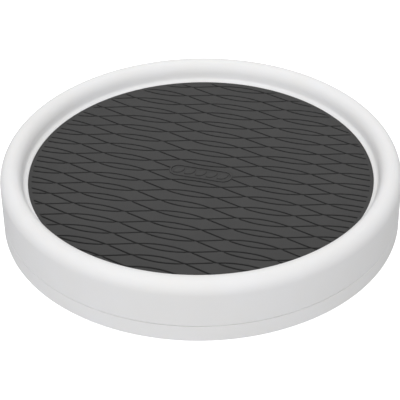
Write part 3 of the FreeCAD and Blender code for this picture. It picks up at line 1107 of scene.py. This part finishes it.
class TURNTABLE_OT_pivot(bpy.types.Operator):
    """Make the washer and the threaded screw that hold the tray's spigot in the base's boss"""

    bl_idname = "turntable.pivot"
    bl_label = "Pivot screw and washer"

    def execute(self, context):
        pivot = context.scene.turntable_pivot
        self.washer(pivot)
        self.screw(pivot)
        return {"FINISHED"}

    def washer(self, pivot):
        """A flat washer around the screw."""
        low_corner, high_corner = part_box("pivot_washer")
        skin = flat_ring(
            pivot.screw_radius + pivot.screw_hole_gap, high_corner.x, low_corner.z,
            high_corner.z, pivot.washer_chamfer, steps=96)
        washer = shown("pivot_washer_plate", skin, once(zinc_steel))
        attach(washer, "tray")
        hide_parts("pivot_washer")

    def screw(self, pivot):
        """A pan head with a cross recess, a core, and a helical thread that runs out to the point."""
        low_corner, high_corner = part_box("pivot_screw")
        head = high_corner.x
        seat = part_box("pivot_washer")[0].z
        core = pivot.screw_radius - pivot.thread_depth
        top = high_corner.z
        taper = top - pivot.screw_tip
        crease = 0.0001
        dome = 0.6                              # share of the head's height that is rounded
        corners = [(0, low_corner.z, 0), (head, low_corner.z, (seat - low_corner.z) * dome)]
        corners += alike(crease, (head, seat), (core, seat))
        corners += [(core, taper, 0), (0, top, 0)]
        skin = lathe(rounded(corners, steps=6), steps=64)
        for span, width in (
                (pivot.cross_span, pivot.cross_width), (pivot.cross_width, pivot.cross_span)):
            arm = bmesh.new()
            add_box(
                arm, (-span / 2, -width / 2, low_corner.z - pivot.cross_depth),
                (span / 2, width / 2, low_corner.z + pivot.cross_depth))
            skin = joined(skin, arm, "DIFFERENCE")
        screw = shown(
            "pivot_screw_threaded", joined(skin, self.thread(pivot, seat, taper), "UNION"),
            once(zinc_steel))
        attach(screw, "tray")
        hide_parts("pivot_screw")

    def thread(self, pivot, seat, taper):
        """The thread: a small ridge wound up the core, closed at both ends."""
        skin = bmesh.new()
        inside = pivot.screw_radius - 1.5 * pivot.thread_depth      # a little inside the core
        root = 0.3 * pivot.thread_pitch         # half the thread's width inside the core
        crest = root / 8                        # half its width at the outside
        start = seat + 2 * root
        row = [
            skin.verts.new((radius, 0, start + offset))
            for radius, offset in (
                (inside, -root), (pivot.screw_radius, -crest), (pivot.screw_radius, crest),
                (inside, root))
        ]
        face = skin.faces.new(row)
        turns = (taper - start - 2 * root) / pivot.thread_pitch
        steps_a_turn = 36
        steps = int(turns * steps_a_turn)
        bmesh.ops.spin(
            skin, geom=[face], cent=ORIGIN, axis=UP, angle=math.tau * turns, steps=steps,
            dvec=UP * (pivot.thread_pitch * turns / steps), use_merge=False)
        return skin


FOOT_DISH = (0.45, 0.50)                    # the dish's edge, in shares of a foot's radius
FOOT_RING = (0.70, 0.73, 0.78, 0.81)        # the grip ring's edges, in the same shares


class TURNTABLE_OT_feet(bpy.types.Operator):
    """Make the round rubber feet, each with a dished face and a grip ring"""

    bl_idname = "turntable.feet"
    bl_label = "Feet"

    def execute(self, context):
        sizes = context.scene.turntable_foot
        for node in FEET:
            low_corner, high_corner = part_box(node)
            centre = (low_corner + high_corner) / 2
            radius = (high_corner.x - low_corner.x) / 2
            bottom, top = low_corner.z, high_corner.z
            dish, sunk = bottom + sizes.dish_depth, bottom + sizes.ring_depth
            inner, outer = (radius * part for part in FOOT_DISH)
            ring_edges = zip(FOOT_RING, (bottom, sunk, sunk, bottom))
            corners = [(0, dish, 0), (inner, dish, 2 * sizes.crease), (outer, bottom, sizes.crease)]
            corners += alike(sizes.crease, *((radius * part, level) for part, level in ring_edges))
            corners += [
                (radius, bottom, sizes.edge_round), (radius, top, sizes.edge_round / 4), (0, top, 0)]
            skin = lathe(rounded(corners), steps=64)
            bmesh.ops.translate(skin, verts=skin.verts, vec=(centre.x, centre.y, 0))
            foot = shown("rubber_" + node, skin, once(foot_rubber))
            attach(foot, "base")
            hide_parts(node)
        return {"FINISHED"}


# ---------------------------------------------------------------- stage


class TURNTABLE_OT_stage(bpy.types.Operator):
    """Make the pale floor, the soft studio light and the camera"""

    bl_idname = "turntable.stage"
    bl_label = "Stage"

    def execute(self, context):
        stage = context.scene.turntable_stage
        context.scene.view_settings.view_transform = "Standard"
        self.floor(stage)
        self.sky(context.scene, stage)
        self.lamp("top_light", place=(0.1, 0.3, 1.6), size=1.2, power=stage.lamp_power)
        self.camera(context.scene, stage)
        return {"FINISHED"}

    def floor(self, stage):
        """A bright disc under the object, which doesn't light it."""
        skin = bmesh.new()
        bmesh.ops.create_circle(skin, cap_ends=True, segments=96, radius=4)
        material = new_material(
            "pale_floor", Roughness=0.9, Base_Color=opaque(stage.floor),
            Emission_Color=(1, 1, 1, 1), Emission_Strength=1.0)[0]
        floor = shown("pale_floor", skin, material)
        floor.visible_diffuse = False
        floor.visible_glossy = False

    def sky(self, scene, stage):
        """An even, pale surround: dim below, brightest low down all round, softer overhead."""
        world = bpy.data.worlds.new("studio")
        world.use_nodes = True
        tree = world.node_tree
        place = add_node(tree, "ShaderNodeTexCoord").outputs["Generated"]
        way = add_node(tree, "ShaderNodeSeparateXYZ", {"Vector": place}).outputs
        height = way["Z"]
        above = remapped(tree, height, 0.15, 0.85, stage.horizon_light, stage.overhead_light)
        sides = (
            (way["X"], (0.35, 0.9, 1.0, stage.right_light)),
            (way["X"], (-0.9, -0.35, stage.left_light, 1.0)),
            (way["Y"], (0.2, 0.9, 1.0, stage.back_light)),
        )
        for direction, dimming in sides:
            above = maths(tree, "MULTIPLY", above, remapped(tree, direction, *dimming))
        haze = 0.1              # height over which the light from below gives way to the surround
        below = remapped(tree, height, -haze, haze, stage.floor_light, 0.0)
        lift = remapped(tree, height, -haze, haze, 0.0, 1.0)
        brightness = maths(tree, "ADD", maths(tree, "MULTIPLY", above, lift), below)
        tree.links.new(brightness, tree.nodes["Background"].inputs["Strength"])
        tree.links.new(
            blended(tree, height, (0.99, 0.99, 1.005, 1), (1, 0.995, 0.99, 1)),
            tree.nodes["Background"].inputs["Color"])
        scene.world = world

    def lamp(self, name, place, size, power):
        """A square soft lamp that faces the origin."""
        data = bpy.data.lights.new(name, "AREA")
        data.size = size
        data.energy = power
        lamp = bpy.data.objects.new(name, data)
        lamp.location = place
        lamp.rotation_euler = (-Vector(place)).to_track_quat("-Z", "Y").to_euler()
        bpy.context.scene.collection.objects.link(lamp)

    def camera(self, scene, stage):
        """Looks at the base's bottom edge from the front right, a little above it."""
        flat = math.cos(stage.elevation)
        back = Vector((
            math.sin(stage.azimuth) * flat, -math.cos(stage.azimuth) * flat,
            math.sin(stage.elevation)))
        right = Vector((math.cos(stage.azimuth), math.sin(stage.azimuth), 0))
        over = back.cross(right)
        middle = Vector((0, 0, BAND_BOTTOM))
        place = middle + back * stage.distance
        aim = middle + over * stage.aim_up + right * stage.aim_right
        data = bpy.data.cameras.new("camera")
        data.lens = stage.lens
        data.clip_start = 0.01
        camera = bpy.data.objects.new("camera", data)
        facing = (aim - place).to_track_quat("-Z", "Y").to_matrix().to_4x4()
        camera.matrix_world = (
            Matrix.Translation(place) @ facing @ Matrix.Rotation(stage.roll, 4, "Z"))
        scene.collection.objects.link(camera)
        scene.camera = camera


# ---------------------------------------------------------------- panel


SETTINGS = {
    "turntable_shell": TURNTABLE_shell_sizes,
    "turntable_pivot": TURNTABLE_pivot_sizes,
    "turntable_foot": TURNTABLE_foot_sizes,
    "turntable_race": TURNTABLE_race_sizes,
    "turntable_mat": TURNTABLE_mat_sizes,
    "turntable_finishes": TURNTABLE_finishes,
    "turntable_stage": TURNTABLE_stage_settings,
}
OPERATORS = (
    TURNTABLE_OT_stage,
    TURNTABLE_OT_mat,
    TURNTABLE_OT_tray,
    TURNTABLE_OT_base,
    TURNTABLE_OT_balls,
    TURNTABLE_OT_cage,
    TURNTABLE_OT_pivot,
    TURNTABLE_OT_feet,
)


class TURNTABLE_PT_pieces(bpy.types.Panel):
    """Lists the pieces of the turntable and their settings"""

    bl_idname = "TURNTABLE_PT_pieces"
    bl_label = "Turntable"
    bl_space_type = "VIEW_3D"
    bl_region_type = "UI"
    bl_category = "Turntable"

    def draw(self, context):
        for operator in OPERATORS:
            self.layout.operator(operator.bl_idname)
        for name, group in SETTINGS.items():
            box = self.layout.box()
            box.label(text=group.__doc__)
            for value in group.__annotations__:
                box.prop(getattr(context.scene, name), value)


def register():
    for name, group in SETTINGS.items():
        bpy.utils.register_class(group)
        setattr(bpy.types.Scene, name, PointerProperty(type=group))
    for each in (*OPERATORS, TURNTABLE_PT_pieces):
        bpy.utils.register_class(each)


def unregister():
    for each in (TURNTABLE_PT_pieces, *reversed(OPERATORS)):
        bpy.utils.unregister_class(each)
    for name, group in reversed(SETTINGS.items()):
        delattr(bpy.types.Scene, name)
        bpy.utils.unregister_class(group)


def main():
    register()
    for operator in OPERATORS:
        family, name = operator.bl_idname.split(".")
        getattr(getattr(bpy.ops, family), name)()


if __name__ == "__main__":
    main()
